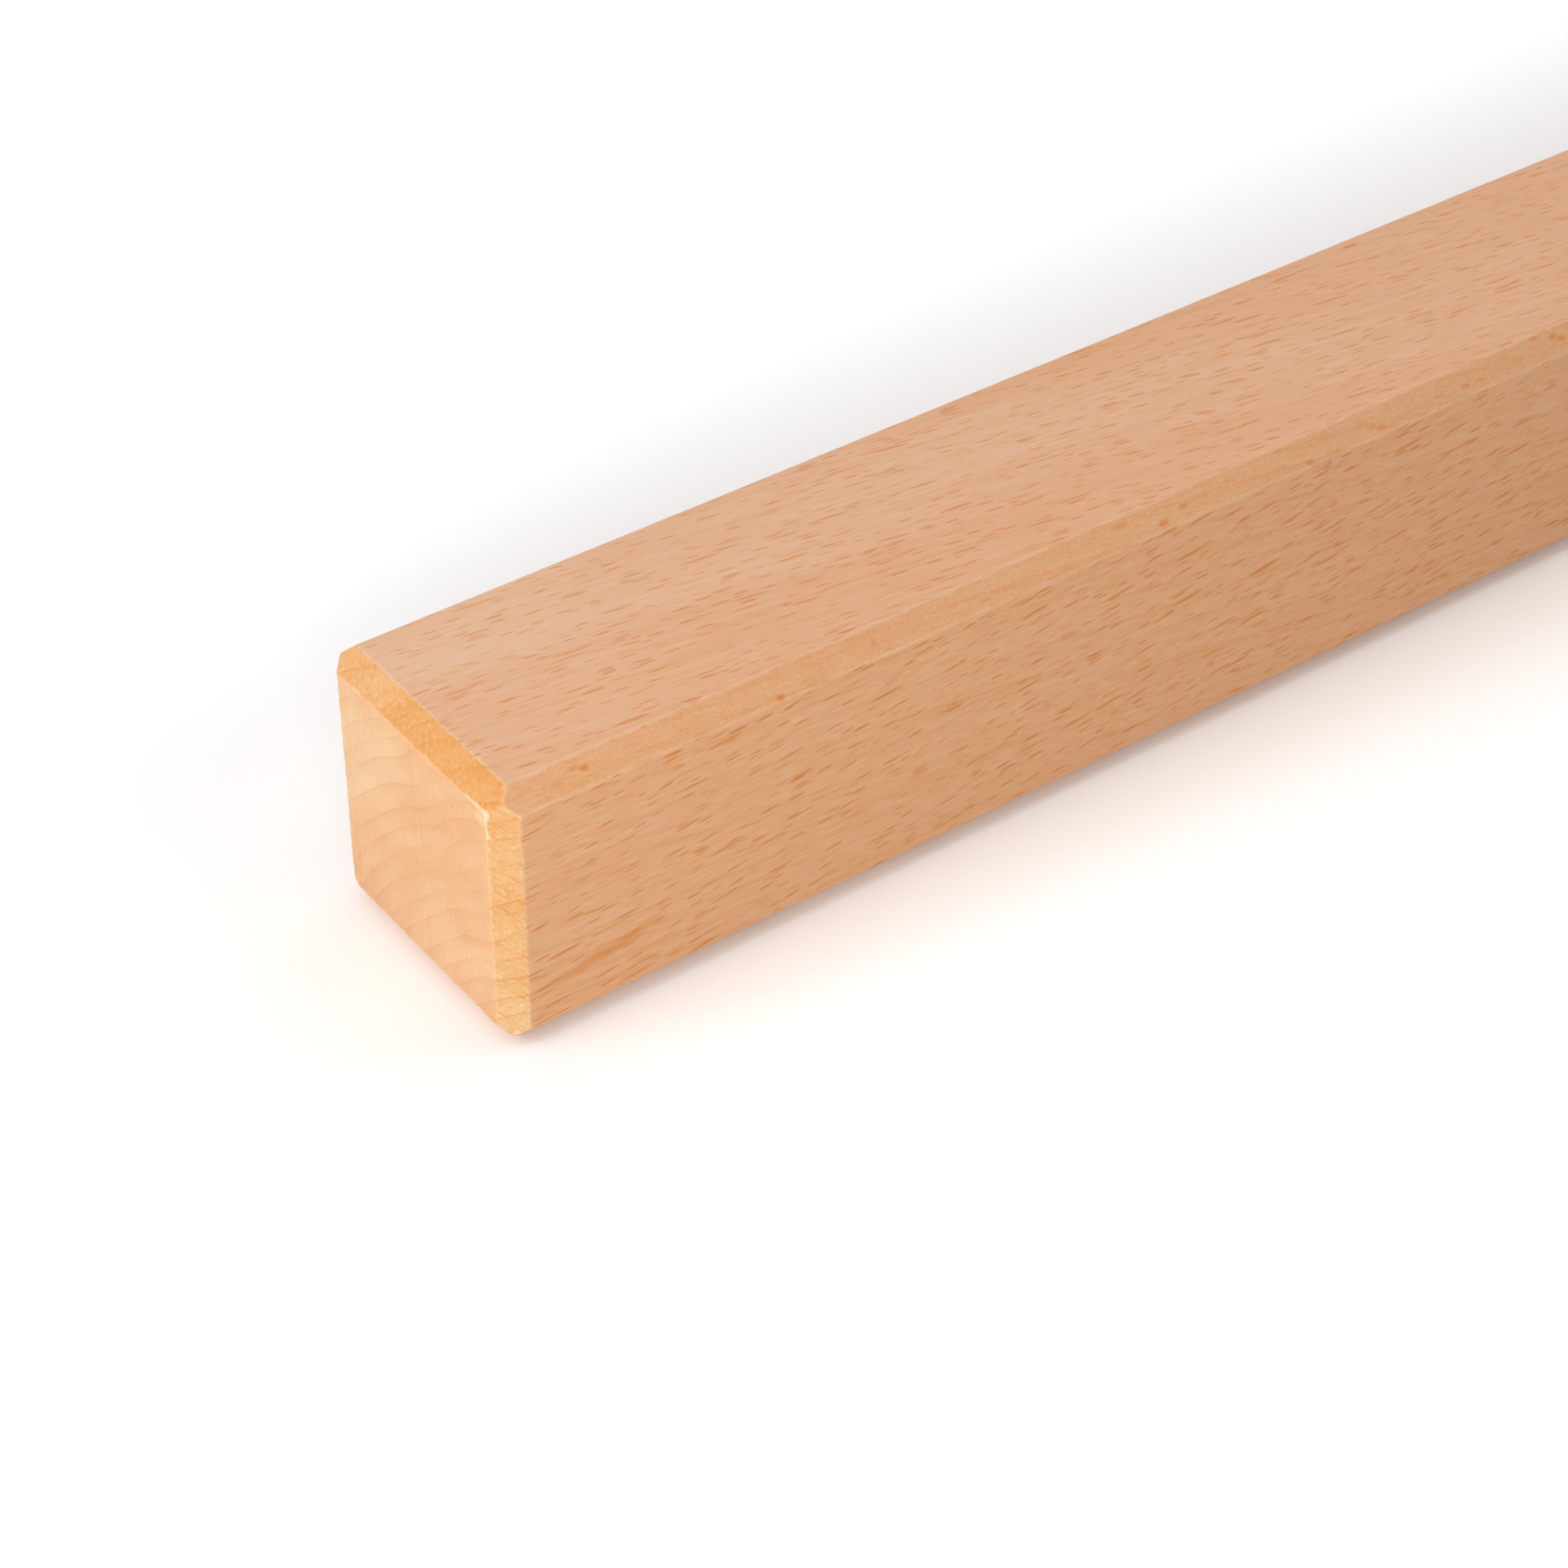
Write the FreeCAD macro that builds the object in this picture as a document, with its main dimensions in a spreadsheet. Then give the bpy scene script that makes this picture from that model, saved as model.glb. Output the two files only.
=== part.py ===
import FreeCAD, Part

import os

import Sketcher

# A square wooden handrail for a stair, one length of planed stock, in millimetres.
# X runs along the rail, Y across it and Z up. The origin is the middle of the underside.

doc = FreeCAD.newDocument("stair_handrail")

# Driving dimensions
SIZES = {
    "section_width": 40,
    "section_height": 40,
    "rail_length": 1000,
    "edge_bevel": 3,
    "end_bevel": 3,
}

sheet = doc.addObject("Spreadsheet::Sheet", "sizes")
for row, (alias, size) in enumerate(SIZES.items(), start=1):
    sheet.set(f"A{row}", alias)
    sheet.set(f"B{row}", str(size))
    sheet.setAlias(f"B{row}", alias)
doc.recompute()

# How a sketch numbers the ends of a line and its own origin
START, END = 1, 2
ORIGIN = (-1, 1)


def size_of(alias):
    return float(sheet.get(alias))


def centred_sketch(body, plane_role, name):
    """A sketch on one of the body's own planes, with its origin at the middle of the rail's section."""
    planes = [plane for plane in body.Origin.OriginFeatures if plane.Role == plane_role]
    sketch = body.newObject("Sketcher::SketchObject", name)
    sketch.AttachmentSupport = [(planes[0], "")]
    sketch.MapMode = "FlatFace"
    if plane_role != "XY_Plane":
        sketch.setExpression("AttachmentOffset.Base.y", "sizes.section_height / 2")
    return sketch


def closed_outline(sketch, corners):
    """Straight lines from corner to corner and back to the first. Returns each line's number."""
    points = [FreeCAD.Vector(across, up, 0) for across, up in corners]
    pairs = zip(points, points[1:] + points[:1])
    lines = [sketch.addGeometry(Part.LineSegment(start, end), False) for start, end in pairs]
    for line, following in zip(lines, lines[1:] + lines[:1]):
        sketch.addConstraint(Sketcher.Constraint("Coincident", line, END, following, START))
    return lines


def set_out(sketch, kind, inner, outer, sign, value, expression):
    """Ties the distance from an inner point to an outer one, which lies on the side given by sign."""
    low, high = (inner, outer) if sign > 0 else (outer, inner)
    index = sketch.addConstraint(Sketcher.Constraint(kind, *low, *high, value))
    sketch.setExpression(f"Constraints[{index}]", expression)


def blank_section(sketch, across, up):
    """The planed square, centred on the sketch's origin."""
    half_across = size_of(across) / 2
    half_up = size_of(up) / 2
    corners = [
        (-half_across, -half_up),
        (half_across, -half_up),
        (half_across, half_up),
        (-half_across, half_up),
    ]
    bottom, right, top, left = closed_outline(sketch, corners)
    for line in (bottom, top):
        sketch.addConstraint(Sketcher.Constraint("Horizontal", line))
    for line in (right, left):
        sketch.addConstraint(Sketcher.Constraint("Vertical", line))
    sketch.addConstraint(Sketcher.Constraint("Symmetric", bottom, START, top, START, *ORIGIN))
    set_out(sketch, "DistanceX", (bottom, START), (bottom, END), 1, 2 * half_across, f"sizes.{across}")
    set_out(sketch, "DistanceY", (right, START), (right, END), 1, 2 * half_up, f"sizes.{up}")


def corner_wedge(sketch, across, up, leg, across_sign, up_sign):
    """The triangle that a bevel takes off one corner of a centred outline."""
    far_across = size_of(across) / 2
    far_up = size_of(up) / 2
    cut = size_of(leg)
    corners = [
        (across_sign * far_across, up_sign * far_up),
        (across_sign * (far_across - cut), up_sign * far_up),
        (across_sign * far_across, up_sign * (far_up - cut)),
    ]
    flat_leg, slope, upright_leg = closed_outline(sketch, corners)
    corner = (flat_leg, START)
    sketch.addConstraint(Sketcher.Constraint("Horizontal", flat_leg))
    sketch.addConstraint(Sketcher.Constraint("Vertical", upright_leg))
    set_out(sketch, "DistanceX", ORIGIN, corner, across_sign, far_across, f"sizes.{across} / 2")
    set_out(sketch, "DistanceY", ORIGIN, corner, up_sign, far_up, f"sizes.{up} / 2")
    set_out(sketch, "DistanceX", (slope, START), corner, across_sign, cut, f"sizes.{leg}")
    set_out(sketch, "DistanceY", (slope, END), corner, up_sign, cut, f"sizes.{leg}")


def bevel_corners(body, name, plane_role, across, up, leg):
    """One flat bevel along each of the four edges that run square to the plane."""
    volume_before = body.Shape.Volume
    sketch = centred_sketch(body, plane_role, f"{name}_outline")
    for across_sign in (-1, 1):
        for up_sign in (-1, 1):
            corner_wedge(sketch, across, up, leg, across_sign, up_sign)
    doc.recompute()
    cut = body.newObject("PartDesign::Pocket", name)
    cut.Profile = sketch
    cut.Type = "ThroughAll"
    cut.SideType = "Symmetric"
    doc.recompute()
    removed = volume_before - body.Shape.Volume
    print(f"{name} took away {removed:.1f} mm3")
    if removed <= 0:
        raise RuntimeError(f"{name} cuts nothing")


# Handrail
handrail = doc.addObject("PartDesign::Body", "handrail")
handrail.Label = "handrail"
handrail.Placement = FreeCAD.Placement()

square = centred_sketch(handrail, "YZ_Plane", "square_section")
blank_section(square, "section_width", "section_height")
doc.recompute()
blank = handrail.newObject("PartDesign::Pad", "planed_blank")
blank.Profile = square
blank.SideType = "Symmetric"
blank.setExpression("Length", "sizes.rail_length")
doc.recompute()

# Three sets of flat bevels. At each corner of the rail one cut of each set meets the others in a single point,
# and a plain rectangle is left as the end face.
bevel_corners(handrail, "long_edge_bevels", "YZ_Plane", "section_width", "section_height", "edge_bevel")
bevel_corners(handrail, "end_bevels_top_bottom", "XZ_Plane", "rail_length", "section_height", "end_bevel")
bevel_corners(handrail, "end_bevels_sides", "XY_Plane", "rail_length", "section_width", "end_bevel")

# Checks before writing
for item in doc.Objects:
    faults = {"Invalid", "Error"} & set(item.State)
    if faults:
        raise RuntimeError(f"{item.Name} is {', '.join(sorted(faults))}")

sub_parts = [handrail]
for sub_part in sub_parts:
    shape = sub_part.Shape
    if shape.isNull() or not shape.isValid() or len(shape.Solids) != 1:
        raise RuntimeError(f"{sub_part.Label} is not one valid solid")

os.makedirs("parts", exist_ok=True)
for sub_part in sub_parts:
    shape = sub_part.Shape
    shape.exportStep(f"parts/{sub_part.Label}.step")
    box = shape.BoundBox
    print(
        f"{sub_part.Label}: {box.XLength:.2f} x {box.YLength:.2f} x {box.ZLength:.2f} mm, "
        f"{len(shape.Faces)} faces, {shape.Volume:.1f} mm3"
    )
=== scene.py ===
# %% [markdown]
# A square beech handrail, as a lesson in cells. The real thing is one planed stick of wood, so
# everything that makes it look real is in two places: the crisp, slightly nibbled edges, and the wood
# itself. This first cell loads the carpenter's model, which is the fixed frame that all the rest is
# fitted to, and keeps its box.

# %% Load the frame
import math

import bpy
import numpy as np
from mathutils import Matrix, Vector, noise


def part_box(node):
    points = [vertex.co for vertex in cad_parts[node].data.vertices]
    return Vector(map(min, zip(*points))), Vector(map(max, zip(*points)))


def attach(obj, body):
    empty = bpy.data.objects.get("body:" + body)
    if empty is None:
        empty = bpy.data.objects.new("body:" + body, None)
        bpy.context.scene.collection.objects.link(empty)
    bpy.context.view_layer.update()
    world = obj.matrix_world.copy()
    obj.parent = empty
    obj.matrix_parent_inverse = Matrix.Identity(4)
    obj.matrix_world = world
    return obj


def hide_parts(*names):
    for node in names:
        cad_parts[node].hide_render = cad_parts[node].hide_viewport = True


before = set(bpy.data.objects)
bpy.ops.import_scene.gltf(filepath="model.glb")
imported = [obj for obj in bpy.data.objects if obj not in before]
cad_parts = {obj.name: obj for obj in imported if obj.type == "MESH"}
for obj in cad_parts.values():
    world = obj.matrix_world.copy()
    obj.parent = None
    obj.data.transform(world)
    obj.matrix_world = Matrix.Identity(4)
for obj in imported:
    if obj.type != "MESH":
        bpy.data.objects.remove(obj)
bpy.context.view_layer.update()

# %% [markdown]
# The camera stands to the left of the near end and looks down along the rail, with a long lens, so the
# rail's edges run together only a little. A Track To constraint would aim it, but couldn't roll it. So
# it is turned with a look-at direction, then rolled by a fraction of a degree, as a hand-set tripod is.

# %% Place the camera
CAMERA_PLACE = Vector((-0.67225, -0.30902, 0.31504))
CAMERA_AIM = Vector((-0.45555, -0.01619, 0.02000))
CAMERA_ROLL = math.radians(0.41)
LENS_MM = 85.065
SENSOR_MM = 36.0
NEAREST_SEEN = 0.01

camera_data = bpy.data.cameras.new("camera")
camera_data.lens = LENS_MM
camera_data.sensor_width = SENSOR_MM
camera_data.sensor_fit = "HORIZONTAL"
camera_data.clip_start = NEAREST_SEEN
camera = bpy.data.objects.new("camera", camera_data)
bpy.context.scene.collection.objects.link(camera)
sight = (CAMERA_AIM - CAMERA_PLACE).to_track_quat("-Z", "Y").to_matrix()
sight = sight @ Matrix.Rotation(CAMERA_ROLL, 3, "Z")
camera.matrix_world = Matrix.Translation(CAMERA_PLACE) @ sight.to_4x4()
bpy.context.scene.camera = camera
print("Camera looks along", [round(v, 4) for v in -sight.col[2]])

# %% [markdown]
# Node trees are wired by hand in the editor. In a script every node would take several lines, so a few
# small helpers do that: one puts a node down, one feeds a socket from a number or from another socket,
# one does arithmetic, one makes a soft step, one lays a colour over another and one takes a vector
# apart.

# %% Helpers for wiring nodes
# The colour sockets of a Mix node go by number, because its other kinds of sockets have the same names
MIX_UNDER, MIX_OVER, MIX_RESULT = 6, 7, 2


def put(tree, kind, **settings):
    """A new node of that kind, with its settings."""
    node = tree.nodes.new(kind)
    for name, value in settings.items():
        setattr(node, name, value)
    return node


def feed(tree, socket, value):
    """Links a socket to another one, or writes a plain value on it."""
    if isinstance(value, bpy.types.NodeSocket):
        tree.links.new(value, socket)
    else:
        socket.default_value = value


def calc(tree, operation, *values):
    """One Math node. Its result can go straight into the next one."""
    node = put(tree, "ShaderNodeMath", operation=operation)
    for socket, value in zip(node.inputs, values):
        feed(tree, socket, value)
    return node.outputs["Value"]


def ramp(tree, value, start, end, low=0.0, high=1.0):
    """Runs smoothly from low to high while value goes from start to end."""
    node = put(tree, "ShaderNodeMapRange", interpolation_type="SMOOTHSTEP")
    for socket, number in zip(node.inputs, (value, start, end, low, high)):
        feed(tree, socket, number)
    return node.outputs["Result"]


def tint(tree, amount, under, over):
    """Lays one colour over another by an amount from 0 to 1."""
    node = put(tree, "ShaderNodeMix", data_type="RGBA")
    feed(tree, node.inputs["Factor"], amount)
    feed(tree, node.inputs[MIX_UNDER], under)
    feed(tree, node.inputs[MIX_OVER], over)
    return node.outputs[MIX_RESULT]


def put_apart(tree, vector):
    """The three parts of a vector."""
    node = put(tree, "ShaderNodeSeparateXYZ")
    feed(tree, node.inputs["Vector"], vector)
    return node.outputs["X"], node.outputs["Y"], node.outputs["Z"]


print("Helpers for wiring nodes are ready")

# %% [markdown]
# The rail lies on white studio paper. Real paper throws back about four fifths of the light, and that
# is what the rail gets from it. To the camera it is plain white, as in a picture that is exposed for a
# white ground. More lamp light would whiten the paper too, but would bleach the wood. So away from the
# rail the paper gives off a little light of its own, which keeps the shadow and clears the rest. The
# shadow reaches further at the back, so the light starts further away there. Far from the rail, where
# no lamp reaches, the paper is white by its own light alone.

# %% Finish of the paper
PAPER_COLOUR = (0.80, 0.80, 0.80, 1.0)
NEAR_LIFT = 0.265
NEAR_LIFT_START = 0.01
NEAR_LIFT_FULL = 0.08
FAR_LIFT = 1.0
FAR_LIFT_START = 0.15
FAR_LIFT_FULL = 0.50
LIFT_BACK = 0.02
WHITE = (1.0, 1.0, 1.0, 1.0)

low_corner, high_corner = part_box("handrail")


def seen_directly(tree):
    """1 for camera, mirror and glass rays, 0 for the light that falls on things."""
    path = put(tree, "ShaderNodeLightPath")
    shiny = calc(tree, "MAXIMUM", path.outputs["Is Glossy Ray"], path.outputs["Is Transmission Ray"])
    return calc(tree, "MAXIMUM", path.outputs["Is Camera Ray"], shiny)


def away_from_rail(tree):
    """How far a place on the paper is from the rail's outline, moved back on it, in metres."""
    x, y, _ = put_apart(tree, put(tree, "ShaderNodeTexCoord").outputs["Object"])
    y = calc(tree, "SUBTRACT", y, LIFT_BACK)
    gaps = []
    for part, reach in ((x, high_corner.x), (y, high_corner.y)):
        gap = calc(tree, "SUBTRACT", calc(tree, "ABSOLUTE", part), reach)
        gaps.append(calc(tree, "MAXIMUM", gap, 0.0))
    squares = calc(tree, "MULTIPLY_ADD", gaps[0], gaps[0], calc(tree, "MULTIPLY", gaps[1], gaps[1]))
    return calc(tree, "SQRT", squares)


def paper_finish():
    material = bpy.data.materials.new("studio paper")
    material.use_nodes = True
    tree = material.node_tree
    tree.nodes.clear()
    seen = seen_directly(tree)
    paper = put(tree, "ShaderNodeBsdfDiffuse")
    feed(tree, paper.inputs["Color"], tint(tree, seen, PAPER_COLOUR, WHITE))
    glow = put(tree, "ShaderNodeEmission")
    glow.inputs["Color"].default_value = WHITE
    away = away_from_rail(tree)
    near_lift = ramp(tree, away, NEAR_LIFT_START, NEAR_LIFT_FULL, 0.0, NEAR_LIFT)
    far_lift = ramp(tree, away, FAR_LIFT_START, FAR_LIFT_FULL, 0.0, FAR_LIFT)
    lift = calc(tree, "ADD", near_lift, far_lift)
    feed(tree, glow.inputs["Strength"], calc(tree, "MULTIPLY", seen, lift))
    both = put(tree, "ShaderNodeAddShader")
    feed(tree, both.inputs[0], paper.outputs["BSDF"])
    feed(tree, both.inputs[1], glow.outputs["Emission"])
    feed(tree, put(tree, "ShaderNodeOutputMaterial").inputs["Surface"], both.outputs["Shader"])
    return material


paper_material = paper_finish()
print("Finish:", paper_material.name)

# %% [markdown]
# The sheet is one big square, because plain paper has no shape of its own to show. It lies a tenth of a
# millimetre below the rail, so that no two faces share a plane and fight over it. It belongs to the
# stage and not to the rail.

# %% Lay the paper
PAPER_HALF = 3.0
PAPER_DROP = 0.0001

paper_mesh = bpy.data.meshes.new("paper")
sheet_corners = [(-1, -1), (1, -1), (1, 1), (-1, 1)]
sheet_points = [(x * PAPER_HALF, y * PAPER_HALF, -PAPER_DROP) for x, y in sheet_corners]
paper_mesh.from_pydata(sheet_points, [], [(0, 1, 2, 3)])
paper_mesh.materials.append(paper_material)
paper = bpy.data.objects.new("paper", paper_mesh)
bpy.context.scene.collection.objects.link(paper)
print("Paper is", 2 * PAPER_HALF, "m square")

# %% [markdown]
# The rail stands in a white tent, which lights it a little from all sides. The same trick as on the
# paper makes the tent's wall plain white to the camera and to reflections, however little light it
# gives.

# %% Set the surroundings
SKY_STRENGTH = 0.228

world = bpy.data.worlds.new("white tent")
world.use_nodes = True
sky = world.node_tree
sky.nodes.clear()
tent_light = put(sky, "ShaderNodeBackground")
tent_light.inputs["Color"].default_value = WHITE
tent_light.inputs["Strength"].default_value = SKY_STRENGTH
tent_wall = put(sky, "ShaderNodeBackground")
tent_wall.inputs["Color"].default_value = WHITE
tent_mix = put(sky, "ShaderNodeMixShader")
feed(sky, tent_mix.inputs[0], seen_directly(sky))
feed(sky, tent_mix.inputs[1], tent_light.outputs["Background"])
feed(sky, tent_mix.inputs[2], tent_wall.outputs["Background"])
feed(sky, put(sky, "ShaderNodeOutputWorld").inputs["Surface"], tent_mix.outputs["Shader"])
bpy.context.scene.world = world
bpy.context.scene.view_settings.view_transform = "Standard"
print("The tent gives", SKY_STRENGTH)

# %% [markdown]
# Soft lamps stand close round the near end: a high one and a lower one beyond the end, a small one in
# front on the left, a high one towards the middle and a weak one behind. So the end face is the
# brightest, the light falls off along the rail, and the shadows lie soft on both sides. Three more
# light the far part, so that the rail can be looked at from anywhere. Each lamp is set by the place
# along the rail that it faces, its compass bearing and height in degrees, as one would walk it round
# the table, its distance and width, and its power in watts.

# %% Hang the lamps
LIT_HEIGHT = 0.02
# Each row: place along the rail, bearing, height, distance, width, power
LAMPS = {
    "high end softbox": (-0.45, 180.0, 70.0, 0.9, 0.70, 1.96),
    "low end softbox": (-0.45, 180.0, 35.0, 0.9, 0.70, 2.72),
    "front softbox": (-0.45, 225.0, 20.0, 0.5, 0.35, 1.44),
    "middle softbox": (-0.45, 0.0, 65.0, 0.9, 0.70, 1.19),
    "back softbox": (-0.45, 90.0, 30.0, 0.9, 0.70, 0.74),
    "far front softbox": (0.22, 290.0, 40.0, 0.55, 0.60, 1.04),
    "far back softbox": (0.22, 70.0, 40.0, 0.55, 0.60, 0.92),
    "far end softbox": (0.50, 0.0, 30.0, 0.50, 0.40, 0.78),
}


def soft_lamp(name, along, bearing, height, distance, width, power):
    data = bpy.data.lights.new(name, "AREA")
    data.shape = "SQUARE"
    data.size = width
    data.energy = power
    lamp = bpy.data.objects.new(name, data)
    bearing, height = math.radians(bearing), math.radians(height)
    level = math.cos(height)
    way = Vector((math.cos(bearing) * level, math.sin(bearing) * level, math.sin(height)))
    turn = (-way).to_track_quat("-Z", "Y").to_matrix().to_4x4()
    lamp.matrix_world = Matrix.Translation(Vector((along, 0.0, LIT_HEIGHT)) + distance * way) @ turn
    bpy.context.scene.collection.objects.link(lamp)
    return lamp


for lamp_name, setting in LAMPS.items():
    lamp = soft_lamp(lamp_name, *setting)
    print(lamp_name, "hangs at", [round(v, 2) for v in lamp.matrix_world.translation])

# %% [markdown]
# A planed edge is never a knife edge: sandpaper takes a hair off it, and the saw tears small nicks out
# of the end grain. A Bevel modifier would round the edges evenly but couldn't nibble them, so the rail
# is lofted afresh. First comes one section: a loop of points round the four flats and the four bevels,
# close together next to every edge. All sizes here are in millimetres, as on a workshop drawing.

# %% Set out one section
MM = 0.001
EDGE_BEVEL = 3.0
NEXT_TO_EDGE = (0.06, 0.15, 0.3, 0.55, 0.9, 1.3)
ROUND_STEP = 0.45

half = np.array((high_corner - low_corner) / 2 / MM)
centre = np.array((high_corner + low_corner) / 2 / MM)


def spaced(start, end, step):
    """Places from start to end, close together near both and about a step apart between."""
    near = [start] + [start + gap for gap in NEXT_TO_EDGE]
    far = [end - gap for gap in reversed(NEXT_TO_EDGE)] + [end]
    count = max(1, round((far[0] - near[-1]) / step))
    between = np.linspace(near[-1], far[0], count + 1)[1:-1]
    return np.concatenate((near, between, far))


flat_half = half[1] - EDGE_BEVEL
slope_length = EDGE_BEVEL * math.sqrt(2)
along_flat = spaced(-flat_half, flat_half, ROUND_STEP) / flat_half
along_slope = spaced(0.0, slope_length, ROUND_STEP)[1:-1] / slope_length


def section_loop(inset, leg):
    """Points round one section, moved in by inset: four flats, each followed by the bevel at its end."""
    points = []
    across = half[1] - inset
    for out, along in (((0, -1), (1, 0)), ((1, 0), (0, 1)), ((0, 1), (-1, 0)), ((-1, 0), (0, -1))):
        out = np.array(out, float)
        along = np.array(along, float)
        flat_end = across * out + (across - leg) * along
        next_flat = (across - leg) * out + across * along
        points += [across * out + (across - leg) * share * along for share in along_flat]
        points += [flat_end + (next_flat - flat_end) * share for share in along_slope]
    return np.array(points)


print("One flat has", len(along_flat), "points and one bevel", len(along_slope), "more")

# %% [markdown]
# The loops are strung along the rail. They grow from the middle of the near end and over its bevel, run
# along the length, and shrink again at the far end. They stand close together at the ends, where the
# wood is torn, and far apart between them, where the rail is straight and needs few points.

# %% String the loops along the rail
END_BEVEL = 3.0
SMALLEST_BEVEL = 0.2
LENGTH_STEP = 10.0
END_FACE_INSETS = NEXT_TO_EDGE + (1.8, 2.5, 3.5, 5.0, 7.0, 9.5, 12.5)

# Each station: distance from the near end, how far the section is moved in, and its bevel's leg
stations = [(0.0, END_BEVEL + gap, SMALLEST_BEVEL) for gap in reversed(END_FACE_INSETS)]
for drop in spaced(0.0, END_BEVEL, ROUND_STEP)[:-1]:
    stations.append((drop, END_BEVEL - drop, max(2 * drop - EDGE_BEVEL, SMALLEST_BEVEL)))
end_stations = len(stations)
stations += [(drop, 0.0, EDGE_BEVEL) for drop in spaced(END_BEVEL, 2 * half[0] - END_BEVEL, LENGTH_STEP)]
stations += [(2 * half[0] - drop, inset, leg) for drop, inset, leg in reversed(stations[:end_stations])]

loops = []
for drop, inset, leg in stations:
    ring = section_loop(inset, leg)
    loops.append(np.column_stack((np.full(len(ring), drop - half[0]), ring)))
points = np.concatenate(loops)
loop_size = len(loops[0])
print(len(stations), "loops of", loop_size, "points")

# %% [markdown]
# Each point will slide onto the eased surface. A flat face is a plane, and a point's distance to the
# nearest of the rail's planes says how far inside it is. Where two planes are about as near, a soft
# maximum of the distances rounds the edge between them. The rail is the same in all its corners, so one
# corner's six planes are enough.

# %% Planes of the rail
ROOT_HALF = math.sqrt(0.5)
# The three cuts along the rail come first, then the three at its end
PLANE_TILTS = np.array(
    (
        (0, 1, 0),
        (0, 0, 1),
        (0, ROOT_HALF, ROOT_HALF),
        (1, 0, 0),
        (ROOT_HALF, ROOT_HALF, 0),
        (ROOT_HALF, 0, ROOT_HALF),
    )
)
PLANE_REACH = np.array(
    (
        half[1],
        half[2],
        (half[1] + half[2] - EDGE_BEVEL) * ROOT_HALF,
        half[0],
        (half[0] + half[1] - END_BEVEL) * ROOT_HALF,
        (half[0] + half[2] - END_BEVEL) * ROOT_HALF,
    )
)
FIRST_END_PLANE = 3


def plane_distances(places):
    """How far each place stands outside each of the rail's planes, folded into one corner of the rail."""
    return np.abs(places) @ PLANE_TILTS.T - PLANE_REACH


print("Planes stand", PLANE_REACH.round(1).tolist(), "mm from the middle")

# %% [markdown]
# Torn fibres are added to that distance, so they always cut inwards, while a random push on the points
# would also swell the rail past its size. There is a fine nibble along every edge, deeper at the ends,
# and there are the few larger tears that this rail has, each a short line with a reach and a depth.

# %% Tear and nibble
ARRIS_REACH = 0.35
END_NIBBLE = 0.13
LONG_NIBBLE = 0.03
NIBBLE_GRAIN = 1.2
NIBBLE_SHARE = 0.25
SHORTEST_LINE = 1e-9
# Each row: start and end of the torn line, how far it reaches and how deep it is
TEARS = (
    ((-500.0, -12.5, 37.0), (-500.0, -16.5, 37.0), 0.30, 0.10),
    ((-500.0, -16.8, 36.6), (-499.9, -17.0, 33.2), 0.34, 0.14),
    ((-499.8, -16.9, 36.8), (-499.8, -16.9, 36.8), 0.45, 0.18),
    ((-499.8, -17.1, 31.8), (-499.8, -17.1, 31.4), 0.30, 0.12),
    ((-499.8, -17.1, 25.8), (-499.8, -17.1, 25.4), 0.28, 0.10),
    ((-498.3, -18.3, 38.3), (-498.3, -18.3, 38.3), 0.40, 0.12),
    ((-497.0, -20.0, 37.0), (-497.0, -20.0, 36.6), 0.35, 0.10),
    ((-498.6, -18.6, 1.5), (-498.2, -18.8, 2.6), 0.50, 0.12),
    ((-500.0, 17.0, 3.0), (-500.0, 17.0, 3.0), 0.80, 0.15),
)


def from_line(places, start, end):
    """The distance of each place from a short straight line."""
    start = np.array(start)
    way = np.array(end) - start
    share = np.clip((places - start) @ way / max(way @ way, SHORTEST_LINE), 0.0, 1.0)
    return np.linalg.norm(places - start - share[:, None] * way, axis=1)


def torn_depth(places, arris, at_end):
    """How deep the wood is torn at each place."""
    depth = np.zeros(len(places))
    for start, end, reach, deep in TEARS:
        depth += deep * np.exp(-((from_line(places + (0, 0, centre[2]), start, end) / reach) ** 2))
    rough = np.array([noise.noise(Vector(place) / NIBBLE_GRAIN) for place in places])
    nibble = np.where(at_end, END_NIBBLE, LONG_NIBBLE)
    return depth + nibble * arris * np.clip(rough + NIBBLE_SHARE, 0.0, 1.0)


start_distances = plane_distances(points)
ranked = np.argsort(start_distances, axis=1)
second = np.take_along_axis(start_distances, ranked[:, -2:-1], axis=1)[:, 0]
arris = np.exp(second / ARRIS_REACH)
at_end = (ranked[:, -2:] >= FIRST_END_PLANE).any(axis=1)
torn = torn_depth(points, arris, at_end)
print("Deepest tear", round(float(torn.max()), 2), "mm")

# %% [markdown]
# Sliding is Newton's rule: each point moves along the slope of the soft distance by as much as it is
# still off. A few steps bring all of them onto the surface.

# %% Slide the points onto the surface
EASE = 0.05
SLIDE_STEPS = 5

for _ in range(SLIDE_STEPS):
    outside = plane_distances(points)
    pull = np.exp((outside - outside.max(axis=1, keepdims=True)) / EASE)
    level = outside.max(axis=1) + EASE * np.log(pull.sum(axis=1)) + torn
    slope = (pull / pull.sum(axis=1, keepdims=True)) @ PLANE_TILTS * np.where(points < 0, -1.0, 1.0)
    points = points - (level / (slope**2).sum(axis=1))[:, None] * slope
print("Still off by", float(np.abs(level).max().round(4)), "mm before the last step")

# %% [markdown]
# The loops are sewn into one closed mesh: quads between neighbours and one many-sided face at the
# middle of each end. Every quad knows which cut it lies on, so it gets that cut's finish. Two numbers
# are kept on each point for the materials: how close it is to an edge, and how deep it is torn.

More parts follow.
